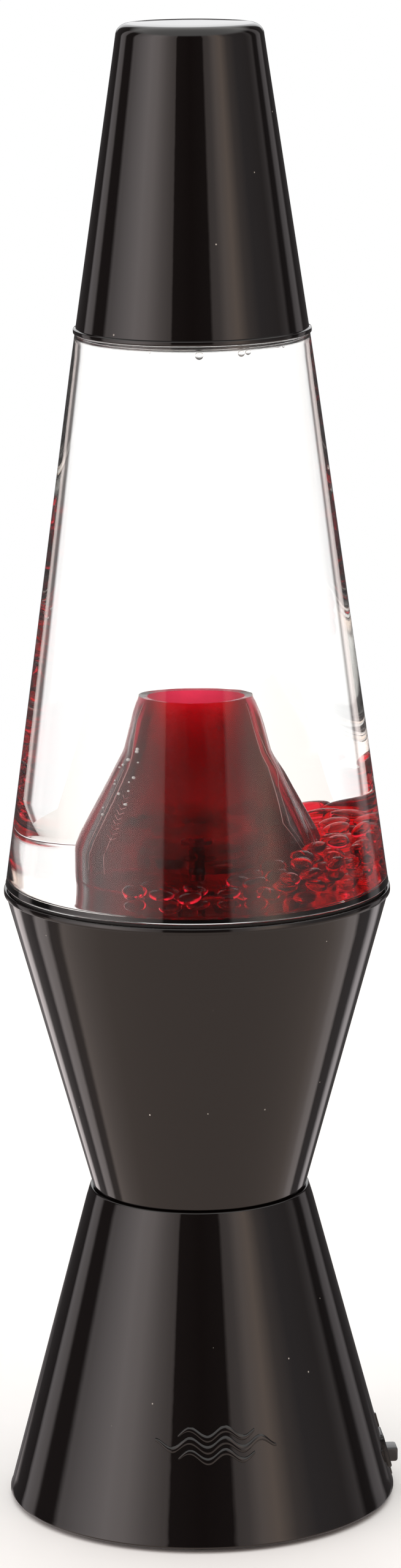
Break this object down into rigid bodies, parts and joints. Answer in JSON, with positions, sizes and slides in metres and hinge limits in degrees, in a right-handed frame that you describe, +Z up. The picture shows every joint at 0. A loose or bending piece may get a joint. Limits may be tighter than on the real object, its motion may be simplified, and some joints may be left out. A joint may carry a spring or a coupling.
{
  "type": "volcano lava lamp",
  "caption": "Battery-powered desk lava lamp with a waisted black base, a clear tapered liquid globe holding a red volcano and loose beads, and a tapered black cap.",
  "frame": {"origin": "centre of the base on the plane of the feet", "axes": "+Z up through the cap, +X out through the slide switch, -Y the front"},
  "size_m": [0.0777, 0.0768, 0.292],
  "materials": {
    "cap_black": "high gloss moulded black",
    "base_black": "high gloss moulded black",
    "trim_black": "satin black",
    "clear_acrylic": "polished clear acrylic",
    "lid_brown": "dark brown, slightly clear",
    "liquid": "clear liquid",
    "volcano_red": "translucent red, cast rough",
    "bead_red": "translucent red, polished",
    "impeller_red": "satin",
    "diffuser_grey": "frosted grey",
    "reflector_white": "white",
    "inner_black": "textured black",
    "rubber_black": "matt",
    "washer_white": "waxy",
    "magnet": "nickel plated",
    "steel": "zinc plated",
    "contact_metal": "nickel plated",
    "motor_can": "drawn steel",
    "board_green": "solder mask",
    "board_white": "white solder mask",
    "led_yellow": "phosphor",
    "battery_wrap": "printed wrap, plain",
    "lead_red": "insulation",
    "lead_black": "insulation"
  },
  "bodies": {
    "base": {"base_upper": "base_black", "base_lower": "base_black", "seat_gasket": "rubber_black", "waist_screws": "steel", "led_board": "board_white", "leds": "led_yellow", "reflector": "reflector_white", "motor_bracket": "inner_black", "bracket_screws": "steel", "motor": "motor_can", "control_board": "board_green", "board_parts": "inner_black", "board_screws": "steel", "battery_case": "inner_black", "batteries": "battery_wrap", "battery_springs": "contact_metal", "case_screws": "steel", "bottom_plate": "inner_black", "plate_screws": "steel", "feet": "rubber_black", "hinge_pin": "steel", "switch_body": "inner_black", "switch_screws": "steel", "switch_bezel": "trim_black", "lower_leads": "lead_red", "upper_leads": "lead_black"},
    "globe": {"globe": "clear_acrylic", "globe_floor": "clear_acrylic", "neck_lid": "lid_brown", "lid_seal": "rubber_black", "fill_plug": "lid_brown", "globe_collar": "inner_black", "diffuser": "diffuser_grey", "liquid": "liquid", "volcano": "volcano_red", "beads": "bead_red", "air_bubbles": "liquid", "impeller_axle": "steel", "thrust_washer": "washer_white", "axle_clip": "steel"},
    "cap": {"cap": "cap_black"},
    "impeller": {"impeller": "impeller_red", "impeller_magnets": "magnet"},
    "rotor": {"motor_shaft": "steel", "magnet_carrier": "inner_black", "drive_magnets": "magnet"},
    "switch_knob": {"switch_knob": "trim_black"},
    "battery_door": {"battery_door": "inner_black", "door_contacts": "contact_metal", "door_screw": "steel"}
  },
  "joints": [
    {"name": "globe_lift", "type": "slide", "parent": "base", "child": "globe", "axis": [0, 0, 1], "range_m": [0, 0.05]},
    {"name": "cap_lift", "type": "slide", "parent": "globe", "child": "cap", "axis": [0, 0, 1], "range_m": [0, 0.06]},
    {"name": "impeller_spin", "type": "hinge", "parent": "globe", "child": "impeller", "pos_m": [0, 0, 0.13], "axis": [0, 0, 1], "continuous": true},
    {"name": "rotor_spin", "type": "hinge", "parent": "base", "child": "rotor", "pos_m": [0, 0, 0.118], "axis": [0, 0, 1], "continuous": true},
    {"name": "switch_slide", "type": "slide", "parent": "base", "child": "switch_knob", "axis": [0, 0, 1], "range_m": [0, 0.002]},
    {"name": "door_hinge", "type": "hinge", "parent": "base", "child": "battery_door", "pos_m": [0, 0.0206, 0.0029], "axis": [1, 0, 0], "range_deg": [0, 100]}
  ],
  "couplings": [
    {"joint": "impeller_spin", "follows": "rotor_spin", "ratio": 1}
  ]
}
